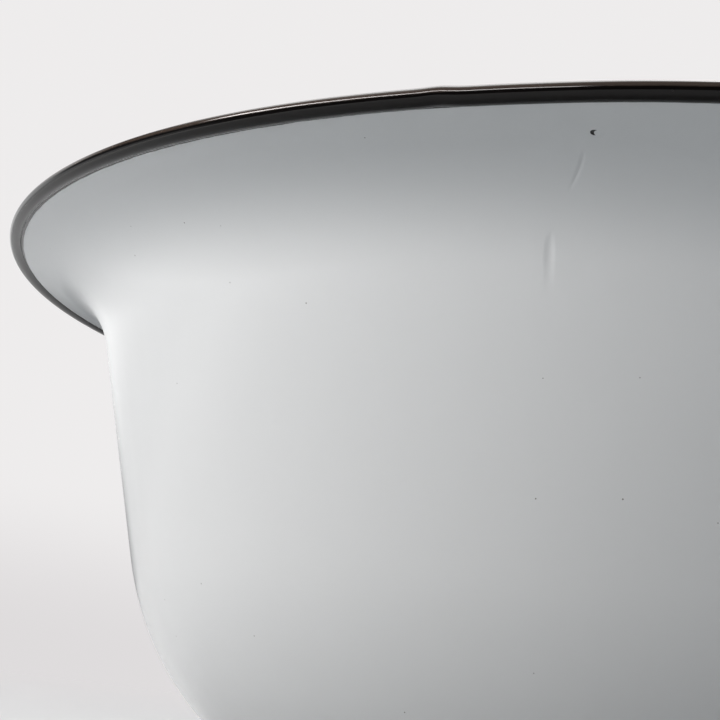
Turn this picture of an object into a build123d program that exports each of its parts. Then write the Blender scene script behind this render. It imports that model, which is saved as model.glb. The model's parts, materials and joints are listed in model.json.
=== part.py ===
from build123d import *
from math import asin, cos, degrees, radians, sin, sqrt, tan
import os

# A low enamelled milk pail with a wide brim, a rolled rim and a swinging wire bail.
# Millimetres, +Z up. The origin is on the floor under the middle of the pail, and the
# ears and the bail's pivots lie on the X axis.

# ---- driving dimensions: shell ----
rim_radius = 165.0  # over the outside of the rolled rim
bowl_depth = 107.0  # middle of the rolled rim down to the underside of the bottom
foot_height = 7.0  # floor up to the underside of the bottom
shoulder_radius = 145.5  # where the lines of the wall and of the brim would meet
wall_taper = 15.8  # degrees, wall from the vertical
brim_slope = 14.0  # degrees, brim from the level
corner_radius = 63.0  # wall into bottom, outside
cove_radius = 29.0  # wall into brim, underside
sheet = 1.0  # enamelled steel sheet

# ---- driving dimensions: rolled rim ----
bead_radius = 1.4
rim_wire_radius = 0.75
rim_wire_gap = 0.05

# ---- driving dimensions: foot ring ----
foot_radius = 78.0  # outside of the ring's upright wall
foot_sheet = 1.2
foot_flange = 5.0  # width of the turned-in flange that rests on the floor
foot_bend = 1.8  # outside radius of the turn

# ---- driving dimensions: ears and rivets ----
ear_drop = 12.8  # lower end of the cove down to the bail's pivot
ear_sheet = 1.6
ear_width = 54.0
ear_height = 22.0
ear_corner = 9.0
bridge_flare = 2.0  # how much further apart the bridge's sides are at the wall, each side
bridge_bend = 2.0
ear_inset = 0.1  # how far the strap is drawn into the wall before it is trimmed to it
rivet_radius = 2.4
rivet_head_radius = 4.6
rivet_head_height = 2.2
rivet_head_round = 2.0
rivet_tail_radius = 4.0
rivet_tail_height = 1.2

# ---- driving dimensions: bail and grip ----
bail_wire_radius = 2.25
bail_overhang = 30.0  # how much further the middle of the grip reaches than the rim
arch_drop = 93.0  # middle of the grip down to where a leg starts to lean in
arch_inset = 48.0  # how far a leg has leant in at the second bend
arch_step = 27.0  # middle of the grip down to the second bend
arch_bend = 128.0
shoulder_bend = 13.0
stub_bend = 7.0
hook_bend = 4.5
hook_length = 8.0
grip_length = 96.0
grip_end_radius = 10.5
grip_middle_radius = 13.5
grip_end_round = 2.0

# ---- clearances ----
leg_rim_gap = 4.75  # bail's legs outside the rolled rim
hook_wall_gap = 0.8  # hook to the wall, where they are nearest
hook_bridge_gap = 1.2  # hook's bend to the underside of the bridge
hook_side_gap = 2.5  # hook's end to the bridge's sides
pin_gap = 0.35  # bail wire in the ear's hole
bore_gap = 0.3  # bail wire in the grip
grip_end_gap = 1.0  # grip to the start of the shoulder bend
floor_gap = 0.6  # grip above the floor when the bail hangs

# ---- worked-out places ----
taper_tan = tan(radians(wall_taper))
brim_tan = tan(radians(brim_slope))
rim_z = foot_height + bowl_depth
bead_center_radius = rim_radius - bead_radius
brim_end_radius = bead_center_radius - rim_wire_radius - rim_wire_gap
brim_end_z = rim_z - sheet / 2 / cos(radians(brim_slope)) - (bead_center_radius - brim_end_radius) * brim_tan
shoulder_z = brim_end_z - (brim_end_radius - shoulder_radius) * brim_tan
base_vertex_radius = shoulder_radius - (shoulder_z - foot_height) * taper_tan
flat_radius = base_vertex_radius - corner_radius * tan(radians((90 - wall_taper) / 2))
cove_half_turn = tan(radians((90 - wall_taper - brim_slope) / 2))
brim_length = (brim_end_radius - shoulder_radius) / cos(radians(brim_slope))
cove_bend = min(cove_radius, 0.98 * brim_length / cove_half_turn)  # the brim must hold the cove
cove_tangent = cove_bend * cove_half_turn
pivot_z = shoulder_z - cove_tangent * cos(radians(wall_taper)) - ear_drop


def wall_radius(z):
    """Outside radius of the straight wall at height z."""
    return shoulder_radius - (shoulder_z - z) * taper_tan


pivot_wall_radius = wall_radius(pivot_z)
rivet_tail_seat = sheet + rivet_tail_radius**2 / pivot_wall_radius  # clears the wall's inside curve
hook_x = wall_radius(pivot_z + hook_length) + hook_wall_gap + bail_wire_radius
bridge_x = hook_x + hook_bend + hook_bridge_gap
bridge_half_width = hook_length + hook_side_gap
bridge_foot_y = bridge_half_width + bridge_flare
rivet_y = (bridge_foot_y + ear_width / 2) / 2
bail_half_span = rim_radius + leg_rim_gap + bail_wire_radius
bail_reach = rim_radius + bail_overhang
hang_drop = pivot_z - grip_middle_radius - floor_gap
hang_angle = Vector(sqrt(bail_reach**2 - hang_drop**2), hang_drop).get_angle(Vector(1, 0))

os.makedirs("parts", exist_ok=True)


def rivet_planes(side):
    """Planes on the wall's outside at one ear's two rivets, with z along the outward normal."""
    planes = []
    for across in (-rivet_y, rivet_y):
        out = sqrt(pivot_wall_radius**2 - across**2)
        level = Vector(side * out, across, 0).normalized()
        normal = level * cos(radians(wall_taper)) - Vector(0, 0, 1) * sin(radians(wall_taper))
        planes.append(Plane(origin=(side * out, across, pivot_z), z_dir=normal))
    return planes


all_rivet_planes = rivet_planes(-1) + rivet_planes(1)

# ---- pail body: one drawn sheet, from the bottom's middle out to the rolled rim ----
with BuildPart() as pail_body:
    with BuildSketch(Plane.XZ):
        with BuildLine():
            FilletPolyline(
                (0, foot_height),
                (base_vertex_radius, foot_height),
                (shoulder_radius, shoulder_z),
                (brim_end_radius, brim_end_z),
                radius=[corner_radius, cove_bend],
            )
            offset(amount=sheet, side=Side.LEFT)
        make_face()
    revolve(axis=Axis.Z)
    for plane in all_rivet_planes:
        with BuildSketch(plane.offset(-3 * sheet)):
            Circle(rivet_radius)
        extrude(amount=6 * sheet, mode=Mode.SUBTRACT)
pail_body.part.label = "pail_body"

# ---- what the wall encloses, to trim the pieces that seat on it ----
with BuildPart() as wall_block:
    with BuildSketch(Plane.XZ):
        with BuildLine():
            FilletPolyline(
                (0, foot_height),
                (base_vertex_radius, foot_height),
                (shoulder_radius, shoulder_z),
                (brim_end_radius, brim_end_z),
                radius=[corner_radius, cove_bend],
            )
            Polyline((brim_end_radius, brim_end_z), (0, brim_end_z), (0, foot_height))
        make_face()
    revolve(axis=Axis.Z)



def bead_point(radius, angle):
    """A point of the rolled rim's section, at an angle in degrees from the brim's outward line."""
    turn = radians(angle + brim_slope)
    return (bead_center_radius + radius * cos(turn), rim_z + radius * sin(turn))


# ---- rolled rim: the sheet's edge curled round the rim wire, open where the brim enters ----
bead_inner_radius = rim_wire_radius + rim_wire_gap
slot_outer = 180 - degrees(asin(sheet / 2 / bead_radius))
slot_inner = 180 - degrees(asin(sheet / 2 / bead_inner_radius))
with BuildPart() as rim_bead:
    with BuildSketch(Plane.XZ, mode=Mode.PRIVATE) as bead_section:
        with BuildLine():
            for side in (1, -1):
                ThreePointArc(
                    bead_point(bead_radius, 0),
                    bead_point(bead_radius, side * slot_outer / 2),
                    bead_point(bead_radius, side * slot_outer),
                )
                ThreePointArc(
                    bead_point(bead_inner_radius, 0),
                    bead_point(bead_inner_radius, side * slot_inner / 2),
                    bead_point(bead_inner_radius, side * slot_inner),
                )
                Line(bead_point(bead_radius, side * slot_outer), bead_point(bead_inner_radius, side * slot_inner))
        make_face()
    for half_turn in (180, -180):
        revolve(bead_section.sketch, axis=Axis.Z, revolution_arc=half_turn, clean=False)
rim_bead.part.label = "rim_bead"

with BuildPart() as rim_wire:
    with BuildSketch(Plane.XZ):
        with Locations((bead_center_radius, rim_z)):
            Circle(rim_wire_radius)
    revolve(axis=Axis.Z)
rim_wire.part.label = "rim_wire"

# ---- foot ring: an upright hoop under the corner, its lower edge turned in flat ----
with BuildPart() as foot_ring:
    with BuildSketch(Plane.XZ):
        with BuildLine():
            FilletPolyline(
                (foot_radius - foot_flange, 0),
                (foot_radius, 0),
                (foot_radius, foot_height + corner_radius / 2),
                radius=foot_bend,
            )
            offset(amount=foot_sheet, side=Side.LEFT)
        make_face()
    revolve(axis=Axis.Z)
    add(wall_block.part, mode=Mode.SUBTRACT)
foot_ring.part.label = "foot_ring"


def build_ear(side):
    """A stamped strap with two feet on the wall and a raised bridge, pierced for the bail."""
    strap_radius = pivot_wall_radius - ear_inset
    end_y = ear_width / 2
    lean = (sin(radians(wall_taper)), 0, cos(radians(wall_taper)))
    with BuildPart() as ear:
        with BuildSketch(Plane.XY.offset(pivot_z)):
            with BuildLine():
                foot_x = sqrt(strap_radius**2 - bridge_foot_y**2)
                end_x = sqrt(strap_radius**2 - end_y**2)
                RadiusArc((end_x, -end_y), (foot_x, -bridge_foot_y), -strap_radius)
                FilletPolyline(
                    (foot_x, -bridge_foot_y),
                    (bridge_x, -bridge_half_width),
                    (bridge_x, bridge_half_width),
                    (foot_x, bridge_foot_y),
                    radius=bridge_bend,
                )
                RadiusArc((foot_x, bridge_foot_y), (end_x, end_y), -strap_radius)
                offset(amount=ear_sheet, side=Side.RIGHT)
            make_face()
        extrude(amount=ear_height, dir=lean, both=True)
        add(wall_block.part, mode=Mode.SUBTRACT)
        with BuildSketch(Plane.YZ):
            with Locations((0, pivot_z)):
                RectangleRounded(ear_width, ear_height, min(ear_corner, 0.45 * ear_height))
        extrude(amount=rim_radius, mode=Mode.INTERSECT)
        with BuildSketch(Plane.YZ):
            with Locations((0, pivot_z)):
                Circle(bail_wire_radius + pin_gap)
        extrude(amount=rim_radius, mode=Mode.SUBTRACT)
        for plane in rivet_planes(1):
            with BuildSketch(plane.offset(-3 * sheet)):
                Circle(rivet_radius)
            extrude(amount=6 * ear_sheet, mode=Mode.SUBTRACT)
    return ear.part if side > 0 else ear.part.mirror(Plane.YZ)


def build_rivets(side):
    """Two rivets through an ear's feet and the wall, domed outside and flat inside."""
    with BuildPart() as rivets:
        for plane in rivet_planes(side):
            with BuildSketch(plane.offset(-rivet_tail_seat - rivet_tail_height)):
                Circle(rivet_tail_radius)
            extrude(amount=rivet_tail_height)
            with BuildSketch(plane.offset(-rivet_tail_seat)):
                Circle(rivet_radius)
            extrude(amount=rivet_tail_seat + ear_sheet)
            with BuildSketch(plane.offset(ear_sheet)):
                Circle(rivet_head_radius)
            extrude(amount=rivet_head_height)
            outward = Axis(plane.origin, plane.z_dir)
            fillet(rivets.faces().sort_by(outward)[-1].edges(), rivet_head_round)
    return rivets.part


for side, name in ((-1, "left"), (1, "right")):
    ear = build_ear(side)
    ear.label = f"{name}_ear"
    export_step(ear, f"parts/{name}_ear.step")
    rivets = build_rivets(side)
    rivets.label = f"{name}_ear_rivets"
    export_step(rivets, f"parts/{name}_ear_rivets.step")

# ---- bail: one wire, hooked through both ears, drawn in its own hanging plane ----
bail_plane = Plane(origin=(0, 0, pivot_z), x_dir=(1, 0, 0), z_dir=(0, 0, 1)).rotated((-hang_angle, 0, 0))
arch_x = bail_half_span - arch_inset
shoulder_turn = Vector(arch_x - grip_length / 2, arch_step).get_angle(Vector(1, 0))
grip_half = grip_length / 2 + grip_end_gap + shoulder_bend * tan(radians(shoulder_turn / 2))

with BuildPart() as bail_wire:
    with BuildLine(bail_plane):
        half = [
            (hook_x, hook_length),
            (hook_x, 0),
            (bail_half_span, 0),
            (bail_half_span, bail_reach - arch_drop),
            (arch_x, bail_reach - arch_step),
            (grip_half, bail_reach),
        ]
        bends = [hook_bend, stub_bend, arch_bend, arch_bend, shoulder_bend]
        other = [(-x, y) for x, y in reversed(half)]
        route = FilletPolyline(half + other, radius=bends + bends[::-1])
    with BuildSketch(Plane(origin=route @ 0, z_dir=route % 0)):
        Circle(bail_wire_radius)
    sweep(path=route)
bail_wire.part.label = "bail_wire"

# ---- grip: a turned wooden barrel bored for the wire ----
grip_plane = Plane(origin=bail_plane.from_local_coords((0, bail_reach, 0)), x_dir=(1, 0, 0), z_dir=bail_plane.z_dir)
with BuildPart() as bail_grip:
    with BuildSketch(grip_plane) as grip_profile:
        with BuildLine():
            left = -grip_length / 2
            right = grip_length / 2
            bore = bail_wire_radius + bore_gap
            ThreePointArc((left, grip_end_radius), (0, grip_middle_radius), (right, grip_end_radius))
            Polyline((right, grip_end_radius), (right, bore), (left, bore), (left, grip_end_radius))
        make_face()
        fillet(grip_profile.vertices().group_by(Axis.X)[0].sort_by(Axis.Y)[-1], grip_end_round)
        fillet(grip_profile.vertices().group_by(Axis.X)[-1].sort_by(Axis.Y)[-1], grip_end_round)
    revolve(axis=Axis(grip_plane.origin, grip_plane.x_dir))
bail_grip.part.label = "bail_grip"

for piece in (pail_body, rim_bead, rim_wire, foot_ring, bail_wire, bail_grip):
    export_step(piece.part, f"parts/{piece.part.label}.step")

print("flat radius", round(flat_radius, 2), "pivot wall radius", round(pivot_wall_radius, 2))
print("hang angle", round(hang_angle, 3), "pivot z", round(pivot_z, 4), "rim z", rim_z)
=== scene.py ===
"""A low enamelled milk pail with a wide brim, a rolled black rim and a swinging wire bail.

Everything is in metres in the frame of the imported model: +Z up, the origin on the floor under
the middle of the pail, the ears and the bail's pivots along X, and the bail hanging at +Y.
"""

from __future__ import annotations

import json
import logging
import math
from dataclasses import dataclass, field
from enum import Enum

import bpy
from mathutils import Matrix, Vector, noise

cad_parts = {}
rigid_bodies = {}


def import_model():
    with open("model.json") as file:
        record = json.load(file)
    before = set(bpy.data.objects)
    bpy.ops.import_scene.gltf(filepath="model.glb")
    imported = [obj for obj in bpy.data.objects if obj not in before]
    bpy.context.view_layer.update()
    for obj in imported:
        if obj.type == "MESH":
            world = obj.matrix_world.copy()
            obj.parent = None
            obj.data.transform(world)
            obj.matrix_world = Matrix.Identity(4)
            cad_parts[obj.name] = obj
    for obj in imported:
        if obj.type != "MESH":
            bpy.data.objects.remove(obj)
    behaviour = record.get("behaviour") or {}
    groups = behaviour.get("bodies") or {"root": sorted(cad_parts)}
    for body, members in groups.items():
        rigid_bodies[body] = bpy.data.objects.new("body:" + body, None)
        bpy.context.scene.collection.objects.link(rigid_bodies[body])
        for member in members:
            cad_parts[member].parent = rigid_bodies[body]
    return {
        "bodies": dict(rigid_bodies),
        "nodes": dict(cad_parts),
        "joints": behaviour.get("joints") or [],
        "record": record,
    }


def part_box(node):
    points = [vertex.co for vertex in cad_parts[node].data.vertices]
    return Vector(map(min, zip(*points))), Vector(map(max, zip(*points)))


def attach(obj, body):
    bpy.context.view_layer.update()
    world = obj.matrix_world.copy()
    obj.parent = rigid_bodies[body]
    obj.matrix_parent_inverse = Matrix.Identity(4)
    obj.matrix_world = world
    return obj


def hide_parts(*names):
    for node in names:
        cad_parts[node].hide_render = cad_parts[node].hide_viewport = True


log = logging.getLogger("milk_pail")
MM = 0.001
FULL_TURN = 2 * math.pi
MERGE_WITHIN = 0.002 * MM
UP = Vector((0, 0, 1))
Colour = tuple[float, float, float, float]
BARE_IRON: Colour = (0.004, 0.004, 0.004, 1.0)


def compass(azimuth: float, elevation: float = 0.0) -> Vector:
    """The unit vector at an azimuth from +X and an elevation from the floor, in radians."""
    return Vector((math.cos(azimuth) * math.cos(elevation), math.sin(azimuth) * math.cos(elevation),
                   math.sin(elevation)))


def ease(value: float) -> float:
    """A smooth step from 0 to 1 as value goes from 0 to 1."""
    held = min(1.0, max(0.0, value))
    return held * held * (3 - 2 * held)


# ---------------------------------------------------------------- outlines


def lay_straight(points: list[Vector], goal: Vector, pitch: float) -> None:
    """Adds evenly spaced points from the last one to goal.

    Args:
        points: The path so far, which grows.
        goal: Where the run ends.
        pitch: The longest step.
    """
    start = points[-1].copy()
    steps = math.ceil((goal - start).length / pitch)
    points.extend(start.lerp(goal, step / steps) for step in range(1, steps + 1))


def rounded_path(corners: list[Vector], bends: list[float], pitches: list[float],
                 steps: list[float]) -> list[Vector]:
    """Lays points along straight runs joined by tangent arcs.

    Args:
        corners: The path's ends and the corners between them.
        bends: The radius at each corner between the ends.
        pitches: The longest step along each straight run.
        steps: The longest step along each arc.

    Returns:
        The points in order, both ends included.
    """
    points = [corners[0].copy()]
    for index, bend in enumerate(bends):
        before, corner, after = corners[index:index + 3]
        come, leave = (corner - before).normalized(), (after - corner).normalized()
        angle = come.angle(leave)
        start = corner - come * bend * math.tan(angle / 2)
        inward = (leave - come * come.dot(leave)).normalized()
        lay_straight(points, start, pitches[index])
        count = max(2, math.ceil(angle * bend / steps[index]))
        for step in range(1, count + 1):
            swing = angle * step / count
            points.append(start + inward * bend * (1 - math.cos(swing)) + come * bend * math.sin(swing))
    lay_straight(points, corners[-1], pitches[-1])
    return points


def meeting(first: Vector, along_first: Vector, second: Vector, along_second: Vector) -> Vector:
    """Where two lines in the XZ plane cross, each given by a point and a direction."""
    across = Vector((along_second.z, 0, -along_second.x))
    return first + along_first * ((second - first).dot(across) / along_first.dot(across))


# ---------------------------------------------------------------- mesh bench


class Bench:
    """Hand-modelling steps that the pieces share. Each leaves one object, active, in object mode."""

    @staticmethod
    def clear() -> None:
        """Deselects everything."""
        bpy.ops.object.select_all(action="DESELECT")

    @staticmethod
    def edit(select: str = "SELECT") -> None:
        """Opens the active object in edit mode with all or nothing selected."""
        bpy.ops.object.mode_set(mode="EDIT")
        bpy.ops.mesh.select_mode(type="VERT")
        bpy.ops.mesh.select_all(action=select)

    @staticmethod
    def close(name: str) -> bpy.types.Object:
        """Leaves edit mode, names the piece and puts its place in its mesh."""
        bpy.ops.object.mode_set(mode="OBJECT")
        piece = bpy.context.active_object
        piece.name = piece.data.name = name
        bpy.ops.object.transform_apply(location=True, rotation=True, scale=True)
        return piece

    @classmethod
    def hold(cls, piece: bpy.types.Object) -> None:
        """Makes a piece the only one selected, and active."""
        cls.clear()
        piece.select_set(True)
        bpy.context.view_layer.objects.active = piece

    @classmethod
    def apply(cls, piece: bpy.types.Object, kind: str, **settings: object) -> None:
        """Adds a modifier, sets it and applies it.

        Args:
            piece: The piece that it changes.
            kind: The modifier's type.
            settings: Its property names and values.
        """
        cls.hold(piece)
        modifier = piece.modifiers.new(kind.lower(), kind)
        for key, value in settings.items():
            setattr(modifier, key, value)
        bpy.ops.object.modifier_apply(modifier=modifier.name)

    @classmethod
    def smooth(cls, piece: bpy.types.Object, degrees: float) -> None:
        """Shades a piece smooth where its faces turn by less than an angle."""
        cls.hold(piece)
        bpy.ops.object.shade_smooth_by_angle(angle=math.radians(degrees))

    @classmethod
    def lathe(cls, name: str, outline: list[Vector], turns: list[tuple[float, int]],
              centre: Vector = Vector(), axis: Vector = UP, closed: bool = False) -> bpy.types.Object:
        """Draws an outline point by point and spins it a full turn. Spin turns clockwise about its axis.

        Args:
            name: The piece's name.
            outline: Points in a plane that holds the axis.
            turns: Angles that add up to a full turn, each with its number of steps.
            centre: A point on the axis.
            axis: The axis's direction.
            closed: True where the outline's last point joins its first.

        Returns:
            The spun piece, its doubles merged and its normals outward.
        """
        cls.clear()
        bpy.ops.mesh.primitive_plane_add(size=MM, location=outline[0])
        cls.edit()
        bpy.ops.mesh.merge(type="CENTER")
        trail = outline + outline[:1] if closed else outline
        for here, there in zip(trail, trail[1:]):
            bpy.ops.mesh.extrude_region_move(TRANSFORM_OT_translate={"value": there - here})
        bpy.ops.mesh.select_all(action="SELECT")
        for angle, steps in turns:
            bpy.ops.mesh.spin(steps=steps, angle=angle, center=centre, axis=-axis)
        bpy.ops.mesh.select_all(action="SELECT")
        bpy.ops.mesh.remove_doubles(threshold=MERGE_WITHIN)
        bpy.ops.mesh.normals_make_consistent(inside=False)
        return cls.close(name)

    @classmethod
    def bent_wire(cls, name: str, corners: list[Vector], bends: list[float], radius: float,
                  sides: int, step: float) -> bpy.types.Object:
        """Draws a round wire: extruded along each straight run and spun round each bend.

        Args:
            name: The piece's name.
            corners: The wire's ends and the corners between them.
            bends: The middle line's radius at each corner.
            radius: The wire's radius.
            sides: Faces round the wire.
            step: The longest turn of one step round a bend, in radians.

        Returns:
            The wire, capped at both ends.
        """
        cls.clear()
        first = (corners[1] - corners[0]).normalized()
        bpy.ops.mesh.primitive_circle_add(vertices=sides, radius=radius, fill_type="NGON",
                                          location=corners[0],
                                          rotation=first.to_track_quat("Z", "X").to_euler())
        cls.edit()
        here = corners[0]
        for before, corner, after, bend in zip(corners, corners[1:], corners[2:], bends):
            come, leave = (corner - before).normalized(), (after - corner).normalized()
            angle = come.angle(leave)
            start = corner - come * bend * math.tan(angle / 2)
            inward = (leave - come * come.dot(leave)).normalized()
            bpy.ops.mesh.extrude_region_move(TRANSFORM_OT_translate={"value": start - here})
            bpy.ops.mesh.spin(steps=max(3, math.ceil(angle / step)), angle=angle,
                              center=start + inward * bend, axis=leave.cross(come).normalized())
            here = corner + leave * bend * math.tan(angle / 2)
        bpy.ops.mesh.extrude_region_move(TRANSFORM_OT_translate={"value": corners[-1] - here})
        bpy.ops.mesh.select_all(action="SELECT")
        bpy.ops.mesh.remove_doubles(threshold=MERGE_WITHIN)
        bpy.ops.mesh.normals_make_consistent(inside=False)
        return cls.close(name)

    @classmethod
    def dipped_copy(cls, name: str, node: str, grain: float, rounds: int) -> bpy.types.Object:
        """Copies a CAD node and lets its edges run soft, as a dipped coat does.

        Args:
            name: The piece's name.
            node: The CAD node that the piece replaces.
            grain: The size of the new mesh's faces.
            rounds: How many times the mesh is smoothed.

        Returns:
            The copy, which stands for the node.
        """
        source = Frame.node(node)
        piece = bpy.data.objects.new(name, source.data.copy())
        piece.matrix_world = source.matrix_world.copy()
        bpy.context.collection.objects.link(piece)
        cls.hold(piece)
        cls.edit()
        bpy.ops.mesh.remove_doubles(threshold=MERGE_WITHIN)
        cls.close(name)
        cls.apply(piece, "REMESH", mode="VOXEL", voxel_size=grain, use_smooth_shade=True)
        cls.apply(piece, "SMOOTH", factor=0.5, iterations=rounds)
        cls.smooth(piece, 180.0)
        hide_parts(node)
        return piece


class Frame:
    """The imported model, loaded once."""

    held: dict = {}

    @classmethod
    def load(cls) -> None:
        """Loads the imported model."""
        cls.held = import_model()

    @classmethod
    def node(cls, name: str) -> bpy.types.Object:
        """A CAD node's object."""
        return cls.held["nodes"][name]

    @classmethod
    def pivot(cls, joint: str) -> Vector:
        """Where a joint's axis stands."""
        joints = cls.held["record"]["behaviour"]["joints"]
        return Vector(next(entry["pos_m"] for entry in joints if entry["name"] == joint))


# ---------------------------------------------------------------- node building


class Nodes:
    """Short words for wiring shader nodes in one tree."""

    def __init__(self, tree: bpy.types.NodeTree) -> None:
        """Wraps a node tree."""
        self.tree = tree

    def add(self, kind: str, **settings: object) -> bpy.types.Node:
        """Adds a node and sets its properties.

        Args:
            kind: The node's type name, without its common beginning.
            settings: Property names and values.

        Returns:
            The node.
        """
        node = self.tree.nodes.new(kind if kind.startswith("NodeGroup") else "ShaderNode" + kind)
        for key, value in settings.items():
            setattr(node, key, value)
        return node

    def put(self, socket: bpy.types.NodeSocket, value: object) -> None:
        """Links a socket to value if that is a socket, or sets it."""
        if isinstance(value, bpy.types.NodeSocket):
            self.tree.links.new(value, socket)
        else:
            socket.default_value = value

    def math(self, operation: str, *values: object) -> bpy.types.NodeSocket:
        """A Math node's result."""
        node = self.add("Math", operation=operation)
        for socket, value in zip(node.inputs, values):
            self.put(socket, value)
        return node.outputs[0]

    def vector(self, operation: str, *values: object) -> bpy.types.Node:
        """A Vector Math node."""
        node = self.add("VectorMath", operation=operation)
        for socket, value in zip(node.inputs, values):
            self.put(socket, value)
        return node

    def distance(self, place: bpy.types.NodeSocket, centre: Vector) -> bpy.types.NodeSocket:
        """How far place is from a point."""
        return self.vector("DISTANCE", place, centre).outputs["Value"]

    def noise(self, place: bpy.types.NodeSocket, scale: object, detail: float = 2.0) -> bpy.types.NodeSocket:
        """A Noise Texture's factor at a place."""
        node = self.add("TexNoise")
        for key, value in (("Vector", place), ("Scale", scale), ("Detail", detail)):
            self.put(node.inputs[key], value)
        return node.outputs["Fac"]

    def span(self, value: bpy.types.NodeSocket, low: object, high: object, to_low: float = 0.0,
             to_high: float = 1.0) -> bpy.types.NodeSocket:
        """A smooth step of value from low to high, clamped."""
        node = self.add("MapRange", interpolation_type="SMOOTHSTEP")
        for key, number in (("Value", value), ("From Min", low), ("From Max", high), ("To Min", to_low),
                            ("To Max", to_high)):
            self.put(node.inputs[key], number)
        return node.outputs["Result"]

    def mix(self, factor: object, first: object, second: object) -> bpy.types.NodeSocket:
        """A colour between first and second."""
        node = self.add("Mix", data_type="RGBA")
        for key, value in (("Factor", factor), (6, first), (7, second)):
            self.put(node.inputs[key], value)
        return node.outputs[2]

    def bump(self, height: bpy.types.NodeSocket, distance: float) -> bpy.types.NodeSocket:
        """A Bump node's normal, from a height where 1 is distance high."""
        node = self.add("Bump")
        for key, value in (("Strength", 1.0), ("Distance", distance), ("Height", height)):
            self.put(node.inputs[key], value)
        return node.outputs["Normal"]

    def group(self, tree: bpy.types.NodeTree, **values: object) -> bpy.types.Node:
        """Places a node group with its own values, spaces in their names as underscores."""
        node = self.add("Group", node_tree=tree)
        for key, value in values.items():
            self.put(node.inputs[key.replace("_", " ")], value)
        return node


class EffectGroup:
    """A shader node group that several finishes use."""

    def __init__(self, name: str, outputs: tuple[str, ...], **inputs: float) -> None:
        """Starts the group with a Place vector, number inputs and number outputs.

        Args:
            name: The group's name.
            outputs: The outputs' names.
            inputs: The number inputs and their defaults, spaces in their names as underscores.
        """
        self.tree = bpy.data.node_groups.new(name, "ShaderNodeTree")
        self.tree.interface.new_socket("Place", in_out="INPUT", socket_type="NodeSocketVector")
        for key, value in inputs.items():
            socket = self.tree.interface.new_socket(key.replace("_", " "), in_out="INPUT",
                                                    socket_type="NodeSocketFloat")
            socket.default_value = value
        for key in outputs:
            self.tree.interface.new_socket(key, in_out="OUTPUT", socket_type="NodeSocketFloat")
        self.nodes = Nodes(self.tree)
        self.given = self.nodes.add("NodeGroupInput").outputs
        self.out = self.nodes.add("NodeGroupOutput").inputs


def fired_glaze() -> bpy.types.NodeTree:
    """A fired glaze's relief and specks, which every enamelled piece has.

    Returns:
        A group with a Height for a Bump node, a Specks mask and a slow Cloud mask.
    """
    group = EffectGroup("fired_glaze", ("Height", "Specks", "Cloud"), Ripple=1.0, Speck_Size=0.022)
    nodes, given, out = group.nodes, group.given, group.out
    place = given["Place"]
    fine, broad = nodes.noise(place, 900.0), nodes.noise(place, 45.0)
    relief = nodes.math("MULTIPLY_ADD", fine, 0.05, broad)
    nodes.put(out["Height"], nodes.math("MULTIPLY", relief, given["Ripple"]))
    dots = nodes.add("TexVoronoi")
    nodes.put(dots.inputs["Vector"], place)
    dots.inputs["Scale"].default_value = 170.0
    nodes.put(out["Specks"], nodes.math("LESS_THAN", dots.outputs["Distance"], given["Speck Size"]))
    nodes.put(out["Cloud"], nodes.noise(place, 14.0, 3.0))
    return group.tree


def handled_metal() -> bpy.types.NodeTree:
    """Handled metal: dulled patches and fine pits.

    Returns:
        A group with Dull and Pits masks and a Height for a Bump node.
    """
    group = EffectGroup("handled_metal", ("Dull", "Pits", "Height"), Grain=900.0)
    nodes, given, out = group.nodes, group.given, group.out
    grain = nodes.noise(given["Place"], given["Grain"])
    pits = nodes.span(grain, 0.60, 0.72)
    nodes.put(out["Dull"], nodes.span(nodes.noise(given["Place"], 90.0, 4.0), 0.42, 0.62))
    nodes.put(out["Pits"], pits)
    nodes.put(out["Height"], nodes.math("MULTIPLY_ADD", pits, -0.6, grain))
    return group.tree


# ---------------------------------------------------------------- finishes


@dataclass(frozen=True)
class Finish:
    """What every finish has: a name and the record's slot."""

    name: str
    slot: str

    def start(self) -> tuple[bpy.types.Material, Nodes, bpy.types.Node, bpy.types.NodeSocket]:
        """A new material.

        Returns:
            The material, its Nodes, its shader and its Object coordinates.
        """
        material = bpy.data.materials.new(self.name)
        material.use_nodes = True
        nodes = Nodes(material.node_tree)
        shader = next(node for node in material.node_tree.nodes if node.type == "BSDF_PRINCIPLED")
        return material, nodes, shader, nodes.add("TexCoord").outputs["Object"]

    def dress(self, piece: bpy.types.Object, body: str, material: bpy.types.Material) -> None:
        """Gives a piece its finish and the body that it moves with."""
        piece.data.materials.clear()
        piece.data.materials.append(material)
        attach(piece, body)
        log.info("%s: %d faces, %s, on %s", piece.name, len(piece.data.polygons), self.name, body)


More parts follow.
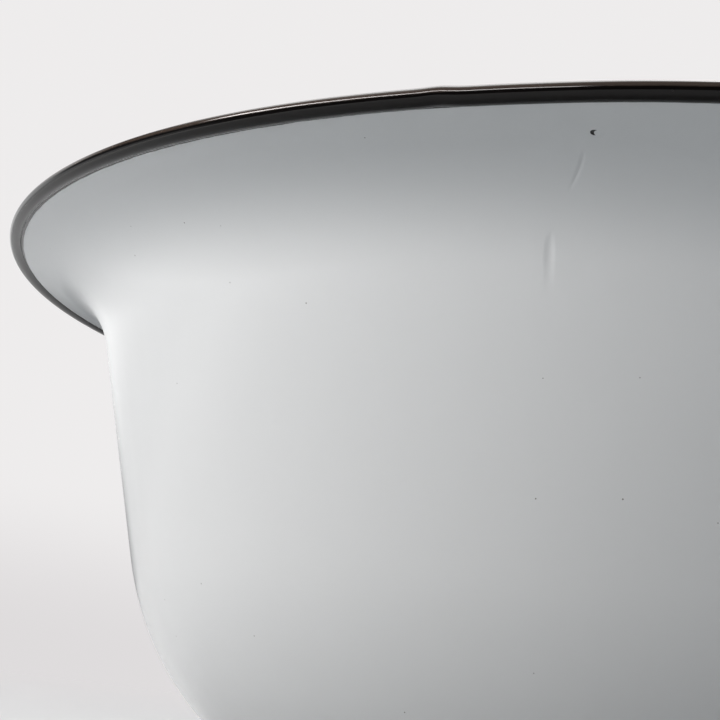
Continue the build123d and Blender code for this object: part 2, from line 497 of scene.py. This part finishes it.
@dataclass(frozen=True)
class Enamel(Finish):
    """Glossy fired enamel, with an optional band of rim colour beyond a radius, and an optional band above a
    height that is partly worn coat and partly painted sheen where light falls on the top.
    """

    tint: Colour
    shade: Colour
    speck: Colour
    roughness: float
    ripple: float = 1.0
    gloss: float = 0.5
    # The top band's colour: partly worn brown coat, partly painted sheen where light falls on the top of the
    # rim.
    worn_and_sheen: Colour | None = None
    top_band_span: float = 0.4 * MM
    top_band_grain: float = 150.0
    dip_edge: tuple[float, float] = (0.20 * MM, 0.30 * MM)
    dip_grain: float = 260.0
    wander: float = 0.3 * MM
    chip_edge: float = 0.85
    relief: float = 0.03 * MM

    def make(self, glaze: bpy.types.NodeTree, rim_colour: Colour | None = None, rim_starts: float = 1.0,
             chip: tuple[Vector, Vector, float] | None = None, top_band_from: float = 1.0) -> bpy.types.Material:
        """Builds the material.

        Args:
            glaze: The shared glaze group.
            rim_colour: A colour dipped on from the rim, if any.
            rim_starts: The radius where that colour starts.
            chip: The middle of a bare chip, the middle of the coat's tongue in it, and its radius.
            top_band_from: The height where the top band starts, if the finish has one; the band is partly
                worn coat and partly painted sheen.

        Returns:
            The material.
        """
        material, nodes, shader, place = self.start()
        coat = nodes.group(glaze, Place=place, Ripple=self.ripple)
        colour = nodes.mix(coat.outputs["Cloud"], self.tint, self.shade)
        colour = nodes.mix(coat.outputs["Specks"], colour, self.speck)
        # Top band: partly worn coat, partly painted sheen on the lit top of the rim.
        if self.worn_and_sheen:
            axes = nodes.add("SeparateXYZ")
            nodes.put(axes.inputs[0], place)
            rough = nodes.noise(place, self.top_band_grain, 3.0)
            ragged = nodes.math("MULTIPLY_ADD", rough, self.wander, axes.outputs["Z"])
            top_band = nodes.span(ragged, top_band_from, top_band_from + self.top_band_span)
            colour = nodes.mix(top_band, colour, self.worn_and_sheen)
        if rim_colour:
            level = nodes.vector("MULTIPLY", place, (1.0, 1.0, 0.0)).outputs[0]
            radius = nodes.vector("LENGTH", level).outputs["Value"]
            rough = nodes.noise(place, self.dip_grain, 3.0)
            ragged = nodes.math("MULTIPLY_ADD", rough, self.wander, radius)
            dipped = nodes.span(ragged, *(rim_starts + edge for edge in self.dip_edge))
            colour = nodes.mix(dipped, colour, rim_colour)
        if chip:
            centre, tongue, size = chip
            within = self.chip_edge * size
            hole = nodes.span(nodes.distance(place, centre), size, within)
            bare = nodes.math("MULTIPLY", hole, nodes.span(nodes.distance(place, tongue), within, size))
            colour = nodes.mix(bare, colour, BARE_IRON)
        nodes.put(shader.inputs["Base Color"], colour)
        nodes.put(shader.inputs["Normal"], nodes.bump(coat.outputs["Height"], self.relief))
        shader.inputs["Roughness"].default_value = self.roughness
        shader.inputs["Specular IOR Level"].default_value = self.gloss
        return material


@dataclass(frozen=True)
class TinnedWire(Finish):
    """Satin tinned steel wire, dulled where it is handled."""

    bright: Colour = (0.60, 0.60, 0.585, 1.0)
    dull: Colour = (0.45, 0.445, 0.43, 1.0)
    pit: Colour = (0.16, 0.13, 0.10, 1.0)

    def make(self, metal: bpy.types.NodeTree) -> bpy.types.Material:
        """Builds the material from the shared metal group."""
        material, nodes, shader, place = self.start()
        worn_and_sheen = nodes.group(metal, Place=place)
        colour = nodes.mix(worn_and_sheen.outputs["Dull"], self.bright, self.dull)
        nodes.put(shader.inputs["Base Color"], nodes.mix(worn_and_sheen.outputs["Pits"], colour, self.pit))
        nodes.put(shader.inputs["Roughness"], nodes.math("MULTIPLY_ADD", worn_and_sheen.outputs["Dull"], 0.16, 0.26))
        nodes.put(shader.inputs["Normal"], nodes.bump(worn_and_sheen.outputs["Height"], 0.02 * MM))
        shader.inputs["Metallic"].default_value = 1.0
        return material


@dataclass(frozen=True)
class OiledBeech(Finish):
    """Oiled beech, its grain along the grip."""

    pale: Colour = (0.50, 0.32, 0.17, 1.0)
    dark: Colour = (0.30, 0.165, 0.075, 1.0)
    fleck: Colour = (0.16, 0.08, 0.035, 1.0)

    def make(self, centre: Vector) -> bpy.types.Material:
        """Builds the material, its growth rings centred near the grip.

        Args:
            centre: The grip's middle.

        Returns:
            The material.
        """
        material, nodes, shader, place = self.start()
        shift = nodes.add("Mapping")
        nodes.put(shift.inputs["Vector"], place)
        shift.inputs["Location"].default_value = -centre - Vector((0, 6 * MM, 4 * MM))
        drawn = nodes.vector("MULTIPLY", shift.outputs["Vector"], (0.05, 1.0, 1.0)).outputs[0]
        rings = nodes.add("TexWave", wave_type="RINGS", rings_direction="X")
        for key, value in (("Vector", drawn), ("Scale", 75.0), ("Distortion", 5.0), ("Detail", 3.0)):
            nodes.put(rings.inputs[key], value)
        fibre = nodes.noise(drawn, 1500.0, 3.0)
        rays = nodes.noise(nodes.vector("MULTIPLY", drawn, (3.0, 1.0, 1.0)).outputs[0], 900.0, 1.0)
        tone = nodes.math("MULTIPLY_ADD", fibre, 0.6, nodes.math("MULTIPLY", rings.outputs["Fac"], 0.4))
        colour = nodes.mix(nodes.span(tone, 0.25, 0.85), self.pale, self.dark)
        colour = nodes.mix(nodes.span(rays, 0.66, 0.74, 0.0, 0.7), colour, self.fleck)
        nodes.put(shader.inputs["Base Color"], colour)
        nodes.put(shader.inputs["Roughness"], nodes.math("MULTIPLY_ADD", fibre, 0.2, 0.36))
        nodes.put(shader.inputs["Normal"], nodes.bump(fibre, 0.06 * MM))
        return material


# ---------------------------------------------------------------- marks in the enamel


class MarkShape(Enum):
    """How a small flaw in the coat is shaped."""

    LENS = "lens"
    RING = "ring"


@dataclass(frozen=True)
class Mark:
    """A small flaw in the outside of the coat, placed by azimuth and height."""

    shape: MarkShape
    azimuth: float
    height: float
    half_length: float
    half_width: float
    rise: float
    lean: float = 0.0
    bow: float = 0.0
    crest_share: float = 0.35

    def lift(self, along: float, across: float) -> float:
        """How far the coat stands out at a place.

        Args:
            along: The place's distance up the outline from the mark's middle.
            across: Its distance round the pail.

        Returns:
            The lift, under 0 in a hollow.
        """
        if self.shape is MarkShape.RING:
            crest = (math.hypot(along, across) - self.half_width) / (self.crest_share * self.half_width)
            return self.rise * math.exp(-crest * crest)
        reach = along / self.half_length
        if abs(reach) >= 1:
            return 0.0
        middle = self.lean * along + self.bow * reach * reach
        side = (across - middle) / (self.half_width * math.sqrt(1 - reach * reach))
        return self.rise * (1 - reach * reach) * (1 - side * side) ** 2 if abs(side) < 1 else 0.0


# ---------------------------------------------------------------- the pail


@dataclass
class Vessel:
    """The drawn shell, its rolled rim round a wire, and the foot ring."""

    body: str = "pail"
    wall_taper: float = math.radians(15.8)
    brim_slope: float = math.radians(14.0)
    shoulder_radius: float = 145.5 * MM
    corner_radius: float = 63.0 * MM
    cove_radius: float = 21.0 * MM  # tighter than the CAD's, which is 29 mm
    sheet: float = 1.0 * MM
    rim_wire_radius: float = 0.8 * MM
    foot_sheet: float = 1.2 * MM
    foot_flange: float = 5.0 * MM
    foot_bend: float = 1.8 * MM
    foot_lap: float = 0.9 * MM
    foot_edge: float = 0.3 * MM
    waviness: float = 0.05 * MM
    waves: float = 22.0
    calm_near_rim: float = 8.0 * MM
    fine_from: float = math.radians(-72.4)
    fine_to: float = math.radians(-67.4)
    chip: Mark = Mark(MarkShape.RING, math.radians(-68.05), 111.45 * MM, 0.8 * MM, 0.72 * MM, 0.05 * MM)
    dent: Mark = Mark(MarkShape.LENS, math.radians(-71.36), 98.3 * MM, 3.4 * MM, 1.0 * MM, -0.14 * MM,
                      bow=0.35 * MM)
    run: Mark = Mark(MarkShape.LENS, math.radians(-69.3), 108.4 * MM, 3.6 * MM, 0.45 * MM, -0.11 * MM,
                     lean=0.45, bow=-0.3 * MM)
    bare_radius: float = 0.62 * MM
    bare_shift: float = -0.15 * MM
    tongue_shift: tuple[float, float] = (0.35 * MM, -0.17 * MM)
    bead_sides: int = 32
    kink: float = math.radians(-75.15)
    kink_rise: float = 0.14 * MM
    kink_sag: float = 0.09 * MM
    kink_width: float = 0.75  # degrees round the rim, like the next three
    sag_falls: float = 1.8
    sag_holds: float = 4.0
    sag_rises: float = 6.0
    # Where the black rim's top band starts, in bead radii above its middle; the band is partly worn coat and
    # partly painted sheen.
    top_band_from: float = 0.12
    dip_reach: float = 0.25 * MM
    strap_grain: float = 0.38 * MM
    stud_grain: float = 0.22 * MM
    coat_rounds: int = 3
    rim_radius: float = field(init=False)
    rim_height: float = field(init=False)
    bead_radius: float = field(init=False)
    underside: float = field(init=False)
    foot_radius: float = field(init=False)

    def __post_init__(self) -> None:
        """Takes the sizes that the frame holds."""
        low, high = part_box("rim_bead")
        self.rim_radius, self.rim_height = high.x, (low.z + high.z) / 2
        self.bead_radius = (high.z - low.z) / 2
        self.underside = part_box("pail_body")[0].z
        self.foot_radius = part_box("foot_ring")[1].x

    @property
    def bead_middle(self) -> Vector:
        """The middle of the rolled rim's section."""
        return Vector((self.rim_radius - self.bead_radius, 0, self.rim_height))

    def outline(self, inset: float, coarse: float, fine: float) -> list[Vector]:
        """The shell's outline from the bottom's middle to inside the rolled rim.

        Args:
            inset: How far inside the outer face the outline lies.
            coarse: The longest step along the bottom, corner and wall.
            fine: The longest step along the cove and the brim.

        Returns:
            The points.
        """
        wall = Vector((math.sin(self.wall_taper), 0, math.cos(self.wall_taper)))
        brim = Vector((math.cos(self.brim_slope), 0, math.sin(self.brim_slope)))
        end = self.bead_middle - brim * self.rim_wire_radius + Vector((brim.z, 0, -brim.x)) * self.sheet / 2
        shoulder = meeting(end, brim, Vector((self.shoulder_radius, 0, 0)), UP)
        end += Vector((-brim.z, 0, brim.x)) * inset
        side = shoulder + Vector((-wall.z, 0, wall.x)) * inset
        bottom = Vector((0, 0, self.underside + inset))
        wall_foot = meeting(side, wall, bottom, Vector((1, 0, 0)))
        corners = [bottom, wall_foot, meeting(side, wall, end, brim), end]
        return rounded_path(corners, [self.corner_radius - inset, self.cove_radius + inset],
                            [2 * coarse, coarse, fine], [coarse, fine])

    def mark_place(self, mark: Mark) -> tuple[Vector, Vector, Vector]:
        """Where a mark is.

        Args:
            mark: The mark.

        Returns:
            Its middle, the direction up the outline and the direction round the pail.
        """
        outline = self.outline(0.0, 1.0 * MM, 0.25 * MM)
        above = next(i for i, point in enumerate(outline) if point.z > mark.height)
        low, high = outline[above - 1], outline[above]
        turn = Matrix.Rotation(mark.azimuth, 3, "Z")
        middle = low.lerp(high, (mark.height - low.z) / (high.z - low.z))
        return turn @ middle, turn @ (high - low).normalized(), turn @ Vector((0, 1, 0))

    def make_shell(self) -> bpy.types.Object:
        """The drawn sheet with its coat: one closed skin, outside and inside."""
        outside = self.outline(0.0, 2.8 * MM, 0.3 * MM)
        inside = self.outline(self.sheet, 4.0 * MM, 2.0 * MM)
        start = Matrix.Rotation(self.fine_from, 3, "Z")
        span = self.fine_to - self.fine_from
        piece = Bench.lathe("pail_shell", [start @ point for point in outside + inside[::-1]],
                            [(span, 72), (FULL_TURN - span, 168)])
        marks = [(mark, *self.mark_place(mark)) for mark in (self.chip, self.dent, self.run)]
        for point in piece.data.vertices:
            place = point.co.copy()
            inward = self.bead_middle.x - Vector((place.x, place.y, 0)).length
            fade = ease(inward / self.calm_near_rim)
            wave = noise.noise_vector(place * self.waves) * self.waviness
            point.co += wave * fade * ease(place.z / self.corner_radius)
            for mark, middle, along, across in marks:
                offset = place - middle
                out = across.cross(along)
                if offset.length < 2 * mark.half_length and abs(offset.dot(out)) < self.sheet / 2:
                    point.co += out * mark.lift(offset.dot(along), offset.dot(across))
        Bench.smooth(piece, 60.0)
        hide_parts("pail_body")
        return piece

    def bare_chip(self) -> tuple[Vector, Vector, float]:
        """The chip's middle, the middle of the coat's tongue in it, and its radius."""
        middle, along, across = self.mark_place(self.chip)
        sideways, upward = self.tongue_shift
        tongue = middle + across * sideways + along * upward
        return middle + across * self.bare_shift, tongue, self.bare_radius

    def make_bead(self) -> bpy.types.Object:
        """The rolled rim, with the small kink that a knock has left in it."""
        start = Matrix.Rotation(self.kink, 3, "Z")
        ring = [start @ (self.bead_middle + self.bead_radius * Vector((math.cos(a), 0, math.sin(a))))
                for a in (FULL_TURN * step / self.bead_sides for step in range(self.bead_sides))]
        near = math.radians(12)
        turns = [(near, 48), (FULL_TURN - 2 * near, 300), (near, 48)]
        piece = Bench.lathe("rolled_rim", ring, turns, closed=True)
        for point in piece.data.vertices:
            apart = math.degrees(math.atan2(point.co.y, point.co.x) - self.kink)
            sag = ease(apart / self.sag_falls) * (1 - ease((apart - self.sag_holds) / self.sag_rises))
            point.co.z += self.kink_rise * math.exp(-(apart / self.kink_width) ** 2) - self.kink_sag * sag
        Bench.smooth(piece, 60.0)
        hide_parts("rim_bead")
        return piece

    def make_foot(self) -> bpy.types.Object:
        """The foot ring: an upright hoop with its lower edge turned in."""
        outer, inner = self.foot_radius, self.foot_radius - self.foot_flange
        height = self.underside + self.foot_lap
        corners = [Vector((inner, 0, 0)), Vector((outer, 0, 0)), Vector((outer, 0, height))]
        face = rounded_path(corners, [self.foot_bend], [MM, MM], [0.25 * MM])
        corners = [corner + Vector((-self.foot_sheet, 0, self.foot_sheet)) for corner in corners]
        corners[0].x, corners[2].z = inner, height
        back = rounded_path(corners, [self.foot_bend - self.foot_sheet], [MM, MM], [0.2 * MM])
        piece = Bench.lathe("foot_hoop", face + back[::-1], [(FULL_TURN, 256)], closed=True)
        Bench.apply(piece, "BEVEL", width=self.foot_edge, segments=3, limit_method="ANGLE",
                    angle_limit=math.radians(50))
        Bench.smooth(piece, 60.0)
        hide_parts("foot_ring")
        return piece

    def build(self, pale: Enamel, black: Enamel, glaze: bpy.types.NodeTree) -> None:
        """Builds and dresses the shell, the rolled rim and the foot ring."""
        plain = pale.make(glaze)
        rim_starts = self.bead_middle.x - self.bead_radius - self.dip_reach
        marked = pale.make(glaze, black.shade, rim_starts, self.bare_chip())
        pale.dress(self.make_shell(), self.body, marked)
        # The rolled rim's top band is partly worn coat and partly painted sheen where light falls on it.
        top_band_from = self.rim_height + self.top_band_from * self.bead_radius
        black.dress(self.make_bead(), self.body, black.make(glaze, top_band_from=top_band_from))
        pale.dress(self.make_foot(), self.body, plain)
        for name in ("left_ear", "right_ear"):
            strap = Bench.dipped_copy(name + "_strap", name, self.strap_grain, self.coat_rounds)
            pale.dress(strap, self.body, plain)
            studs = Bench.dipped_copy(name + "_studs", name + "_rivets", self.stud_grain, self.coat_rounds)
            pale.dress(studs, self.body, plain)


@dataclass
class Bail:
    """The wire bail, hooked through both ears, and its turned grip."""

    wire_body: str = "bail"
    grip_body: str = "grip"
    wire_radius: float = 2.25 * MM
    tip_round: float = 0.8 * MM
    hang_angle: float = math.radians(19.751)
    hook_x: float = 142.61 * MM
    hook_length: float = 8.0 * MM
    half_span: float = 172.0 * MM
    reach: float = 195.0 * MM
    arch_drop: float = 93.0 * MM
    arch_inset: float = 48.0 * MM
    arch_step: float = 27.0 * MM
    grip_length: float = 96.0 * MM
    grip_gap: float = 1.0 * MM
    grip_end: float = 10.5 * MM
    grip_middle: float = 13.5 * MM
    grip_round: float = 2.0 * MM
    bore: float = 2.55 * MM
    bore_edge: float = 0.6 * MM
    cuts: tuple[float, ...] = (35.5 * MM, 39.0 * MM)
    cut_reach: float = 0.9 * MM
    cut_depth: float = 0.65 * MM
    bends: tuple[float, ...] = (4.5 * MM, 7.0 * MM, 128.0 * MM, 128.0 * MM, 13.0 * MM)

    def route(self) -> list[Vector]:
        """The wire's corners, from one hook's tip to the other's."""
        arch_x = self.half_span - self.arch_inset
        shoulder = math.atan2(self.arch_step, arch_x - self.grip_length / 2)
        grip_x = self.grip_length / 2 + self.grip_gap + self.bends[-1] * math.tan(shoulder / 2)
        half = [(self.hook_x, self.hook_length), (self.hook_x, 0), (self.half_span, 0),
                (self.half_span, self.reach - self.arch_drop), (arch_x, self.reach - self.arch_step),
                (grip_x, self.reach)]
        pivot, out = Frame.pivot("bail_swing"), compass(math.pi / 2, -self.hang_angle)
        whole = half + [(-x, reach) for x, reach in reversed(half)]
        return [pivot + Vector((x, 0, 0)) + out * reach for x, reach in whole]

    def make_wire(self) -> bpy.types.Object:
        """The bail, its ends filed round."""
        piece = Bench.bent_wire("bail_bow", self.route(), list(self.bends + self.bends[::-1]),
                                self.wire_radius, 28, math.radians(2.5))
        Bench.apply(piece, "BEVEL", width=self.tip_round, segments=4, limit_method="ANGLE",
                    angle_limit=math.radians(60))
        Bench.smooth(piece, 50.0)
        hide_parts("bail_wire")
        return piece

    def barrel(self, x: float) -> float:
        """The grip's radius at a distance from its middle, cut lines and all."""
        swell = (self.grip_middle - self.grip_end) * (1 - (2 * x / self.grip_length) ** 2)
        cut = sum(max(0.0, 1 - abs(x - middle) / self.cut_reach) for middle in self.cuts)
        return self.grip_end + swell - cut * self.cut_depth

    def make_grip(self) -> bpy.types.Object:
        """The turned grip, with two cut lines near each end."""
        centre, half = Frame.pivot("grip_spin"), self.grip_length / 2
        flank = half - self.grip_round
        spots = {flank * step / 40 for step in range(41)}
        spots |= {middle + self.cut_reach * step / 3 for middle in self.cuts for step in range(-3, 4)}
        face = [(x, self.barrel(x)) for x in sorted(spots)]
        for turn in (math.pi / 2 * step / 8 for step in range(1, 9)):
            face.append((flank + self.grip_round * math.sin(turn),
                         self.barrel(flank) - self.grip_round * (1 - math.cos(turn))))
        face += [(half, self.bore + self.bore_edge), (half - self.bore_edge, self.bore)]
        whole = face[::-1] + [(-x, radius) for x, radius in face[1:]]
        points = [centre + Vector((x, 0, radius)) for x, radius in whole]
        piece = Bench.lathe("bail_barrel", points, [(FULL_TURN, 80)], centre, Vector((1, 0, 0)), closed=True)
        Bench.smooth(piece, 28.0)
        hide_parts("bail_grip")
        return piece

    def build(self, wire: TinnedWire, wood: OiledBeech, metal: bpy.types.NodeTree) -> None:
        """Builds and dresses the bail and its grip."""
        tinned = wire.make(metal)
        wire.dress(self.make_wire(), self.wire_body, tinned)
        wood.dress(self.make_grip(), self.grip_body, wood.make(Frame.pivot("grip_spin")))
        rim_wire = Frame.node("rim_wire")
        rim_wire.data.materials.clear()
        rim_wire.data.materials.append(tinned)


# ---------------------------------------------------------------- the studio


@dataclass(frozen=True)
class SoftCard:
    """A large soft light far off: a patch of even brightness with a soft edge, in degrees.

    One that is gloss_only shows in glossy surfaces and lights nothing else.
    """

    name: str
    azimuth: float
    half_width: float
    elevation: float
    half_height: float
    edge: float
    strength: float
    tint: Colour = (1.0, 1.0, 1.0, 1.0)
    gloss_only: bool = False


@dataclass(frozen=True)
class SoftPanel:
    """A soft panel on a stand, which lights the pail but leaves no hard spot in its gloss."""

    name: str
    azimuth: float
    power: float
    distance: float = 1.5
    height: float = 0.47
    width: float = 1.2
    depth: float = 0.6
    tint: tuple[float, float, float] = (1.0, 0.985, 0.965)


@dataclass
class Studio:
    """The floor, the backdrop, the soft lights and the camera."""

    floor_rings: tuple[float, ...] = (0.0, 0.3, 0.7, 1.2)
    floor_radius: float = 1.8
    wall_radius: float = 2.6
    wall_height: float = 2.4
    paper: Colour = (0.48, 0.508, 0.525, 1.0)
    paper_seen: Colour = (0.66, 0.66, 0.665, 1.0)
    paper_fades: tuple[float, float] = (0.3, 0.75)
    haze: Colour = (0.855, 0.84, 0.84, 1.0)
    low_haze: Colour = (0.735, 0.715, 0.72, 1.0)
    haze_height: float = 0.28
    cards: tuple[SoftCard, ...] = (
        SoftCard("back_window", 85.0, 40.0, 55.0, 18.0, 8.0, 2.2),
        SoftCard("left_window", 130.0, 40.0, 55.0, 15.0, 8.0, 2.7),
        SoftCard("left_skylight", 150.0, 60.0, 68.0, 12.0, 8.0, 1.3),
        SoftCard("back_low", 98.0, 22.0, 12.0, 14.0, 6.0, 0.55),
        SoftCard("far_wall", 152.0, 32.0, 17.0, 12.0, 4.0, 0.70),
        SoftCard("left_low", 187.0, 35.0, 0.0, 8.0, 5.0, 0.62),
        SoftCard("strip", 240.0, 34.0, 38.0, 3.0, 1.0, 24.0, (1.0, 0.95, 0.94, 1.0), True),
        SoftCard("canopy", 0.0, 400.0, 90.0, 48.0, 4.0, 0.12, (0.98, 1.0, 1.02, 1.0)),
        SoftCard("horizon", 0.0, 400.0, 5.0, 20.0, 8.0, 0.08, (0.95, 1.0, 1.06, 1.0)),
    )
    panels: tuple[SoftPanel, ...] = (
        SoftPanel("left_panel", 230.0, 11.9),
        SoftPanel("front_panel", 245.0, 8.5),
    )
    aim_height: float = 0.07
    lens: float = 75.59
    sensor: float = 36.0
    near_clip: float = 0.01
    camera_turn: float = math.radians(30.0)
    camera_distance: float = 2.1
    camera_drop: float = 0.45567
    yaw: float = -0.253114
    pitch: float = 0.19359
    roll: float = 0.136056

    def make_stage(self) -> None:
        """The pale floor and the round backdrop behind it."""
        rings = [Vector((radius, 0, 0)) for radius in (*self.floor_rings, self.floor_radius)]
        floor = Bench.lathe("floor", rings, [(FULL_TURN, 96)])
        bend = self.wall_radius - self.floor_radius
        corners = [Vector((self.floor_radius, 0, 0)), Vector((self.wall_radius, 0, 0)),
                   Vector((self.wall_radius, 0, self.wall_height))]
        sweep = rounded_path(corners, [0.98 * bend], [0.3, 0.3], [0.08])
        wall = Bench.lathe("backdrop", sweep, [(FULL_TURN, 96)])
        for ray in ("diffuse", "glossy", "transmission", "volume_scatter", "shadow"):
            setattr(wall, "visible_" + ray, False)
        for stage, builder in ((floor, self.paper_finish), (wall, self.haze_finish)):
            Bench.smooth(stage, 60.0)
            stage.data.materials.append(builder())

    def paper_finish(self) -> bpy.types.Material:
        """Matt paper that runs into the haze far off, paler to the camera and in gloss than as light."""
        material = bpy.data.materials.new("studio_paper")
        material.use_nodes = True
        nodes = Nodes(material.node_tree)
        shader = next(node for node in material.node_tree.nodes if node.type == "BSDF_PRINCIPLED")
        result = next(node for node in material.node_tree.nodes if node.type == "OUTPUT_MATERIAL")
        far = nodes.vector("LENGTH", nodes.add("TexCoord").outputs["Object"]).outputs["Value"]
        path = nodes.add("LightPath")
        camera_ray = path.outputs["Is Camera Ray"]
        looked_at = nodes.math("MAXIMUM", camera_ray, path.outputs["Is Glossy Ray"])
        nodes.put(shader.inputs["Base Color"], nodes.mix(looked_at, self.paper, self.paper_seen))
        shader.inputs["Roughness"].default_value = 0.9
        glow = nodes.add("Emission")
        glow.inputs["Color"].default_value = self.low_haze
        blend = nodes.add("MixShader")
        faded = nodes.math("MULTIPLY", nodes.span(far, *self.paper_fades), camera_ray)
        for socket, value in zip(blend.inputs, (faded, shader.outputs[0], glow.outputs[0])):
            nodes.put(socket, value)
        nodes.put(result.inputs["Surface"], blend.outputs[0])
        return material

    def haze_finish(self) -> bpy.types.Material:
        """A backdrop too far off to see, a little darker near the floor."""
        material = bpy.data.materials.new("studio_haze")
        material.use_nodes = True
        nodes = Nodes(material.node_tree)
        result = next(node for node in material.node_tree.nodes if node.type == "OUTPUT_MATERIAL")
        height = nodes.add("SeparateXYZ")
        nodes.put(height.inputs[0], nodes.add("TexCoord").outputs["Object"])
        glow = nodes.add("Emission")
        rise = nodes.span(height.outputs["Z"], 0.0, self.haze_height)
        colour = nodes.mix(rise, self.low_haze, self.haze)
        nodes.put(glow.inputs["Color"], colour)
        nodes.put(result.inputs["Surface"], glow.outputs[0])
        return material

    def make_light(self) -> None:
        """The soft cards as the world's light, which the camera sees as plain haze."""
        world = bpy.data.worlds.new("studio")
        bpy.context.scene.world = world
        world.use_nodes = True
        nodes = Nodes(world.node_tree)
        result = next(node for node in world.node_tree.nodes if node.type == "OUTPUT_WORLD")
        lit = next(node for node in world.node_tree.nodes if node.type == "BACKGROUND")
        ray = nodes.add("SeparateXYZ")
        nodes.put(ray.inputs[0], nodes.add("TexCoord").outputs["Generated"])
        elevation = nodes.math("DEGREES", nodes.math("ARCSINE", ray.outputs["Z"]))
        azimuth = nodes.math("DEGREES", nodes.math("ARCTAN2", ray.outputs["Y"], ray.outputs["X"]))
        path = nodes.add("LightPath")
        total: object = (0.0, 0.0, 0.0)
        for card in self.cards:
            aside = nodes.math("PINGPONG", nodes.math("SUBTRACT", azimuth, card.azimuth), 180.0)
            above = nodes.math("ABSOLUTE", nodes.math("SUBTRACT", elevation, card.elevation))
            across = nodes.span(aside, card.half_width + card.edge, card.half_width - card.edge)
            upright = nodes.span(above, card.half_height + card.edge, card.half_height - card.edge)
            inside = nodes.math("MULTIPLY", across, upright)
            if card.gloss_only:
                inside = nodes.math("MULTIPLY", inside, path.outputs["Is Glossy Ray"])
            bright = tuple(card.strength * part for part in card.tint[:3])
            total = nodes.vector("MULTIPLY_ADD", inside, bright, total).outputs[0]
        nodes.put(lit.inputs["Color"], total)
        plain = nodes.add("Background")
        plain.inputs["Color"].default_value = self.haze
        blend = nodes.add("MixShader")
        camera_ray = path.outputs["Is Camera Ray"]
        for socket, value in zip(blend.inputs, (camera_ray, lit.outputs[0], plain.outputs[0])):
            nodes.put(socket, value)
        nodes.put(result.inputs["Surface"], blend.outputs[0])

    def make_panels(self) -> None:
        """The soft panels, aimed at the pail."""
        aim = UP * self.aim_height
        for panel in self.panels:
            light = bpy.data.lights.new(panel.name, "AREA")
            light.shape, light.size, light.size_y = "RECTANGLE", panel.width, panel.depth
            light.energy, light.color = panel.power, panel.tint
            stand = bpy.data.objects.new(panel.name, light)
            bpy.context.collection.objects.link(stand)
            place = compass(math.radians(panel.azimuth)) * panel.distance + UP * panel.height
            turn = (aim - place).to_track_quat("-Z", "Y").to_matrix().to_4x4()
            stand.matrix_world = Matrix.Translation(place) @ turn
            stand.visible_camera = stand.visible_glossy = False

    def make_camera(self, vessel: Vessel) -> None:
        """Adds the camera, its distance and drop measured in rim radii.

        Args:
            vessel: The pail.
        """
        data = bpy.data.cameras.new("camera")
        data.lens, data.sensor_width, data.clip_start = self.lens, self.sensor, self.near_clip
        camera = bpy.data.objects.new("camera", data)
        bpy.context.collection.objects.link(camera)
        forward = compass(math.pi / 2 - self.yaw, self.pitch)
        right = Vector((math.cos(self.yaw), -math.sin(self.yaw), 0))
        level = right.cross(forward)
        tilted = right * math.cos(self.roll) + level * math.sin(self.roll)
        upward = level * math.cos(self.roll) - right * math.sin(self.roll)
        turn = Matrix((tilted, upward, -forward)).transposed().to_4x4()
        from_rim = Vector((0, -self.camera_distance, -self.camera_drop)) * vessel.rim_radius
        place = from_rim + UP * vessel.rim_height
        camera.matrix_world = Matrix.Rotation(self.camera_turn, 4, "Z") @ Matrix.Translation(place) @ turn
        bpy.context.scene.camera = camera
        bpy.context.scene.view_settings.view_transform = "Standard"

    def build(self, vessel: Vessel) -> None:
        """Builds the stage, the light and the camera."""
        self.make_stage()
        self.make_light()
        self.make_panels()
        self.make_camera(vessel)


def main() -> None:
    """Builds the pail, its bail and its studio."""
    logging.basicConfig(level=logging.INFO, format="%(name)s %(message)s")
    Frame.load()
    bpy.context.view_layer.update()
    glaze, metal = fired_glaze(), handled_metal()
    pale = Enamel("pale_enamel", "enamel_grey", tint=(0.712, 0.712, 0.717, 1.0),
                  shade=(0.680, 0.683, 0.688, 1.0), speck=(0.22, 0.21, 0.20, 1.0), roughness=0.16)
    # The black's brown top colour is partly worn coat and partly painted sheen on the lit top of the rim.
    black = Enamel("black_enamel", "enamel_black", tint=(0.0038, 0.0025, 0.0022, 1.0),
                   shade=(0.0018, 0.0014, 0.0013, 1.0), speck=(0.02, 0.02, 0.02, 1.0), roughness=0.10,
                   ripple=1.4, gloss=0.25, worn_and_sheen=(0.070, 0.052, 0.043, 1.0))
    vessel = Vessel()
    vessel.build(pale, black, glaze)
    Bail().build(TinnedWire("tinned_wire", "steel_wire"), OiledBeech("oiled_beech", "turned_wood"), metal)
    Studio().build(vessel)


if __name__ == "__main__":
    main()
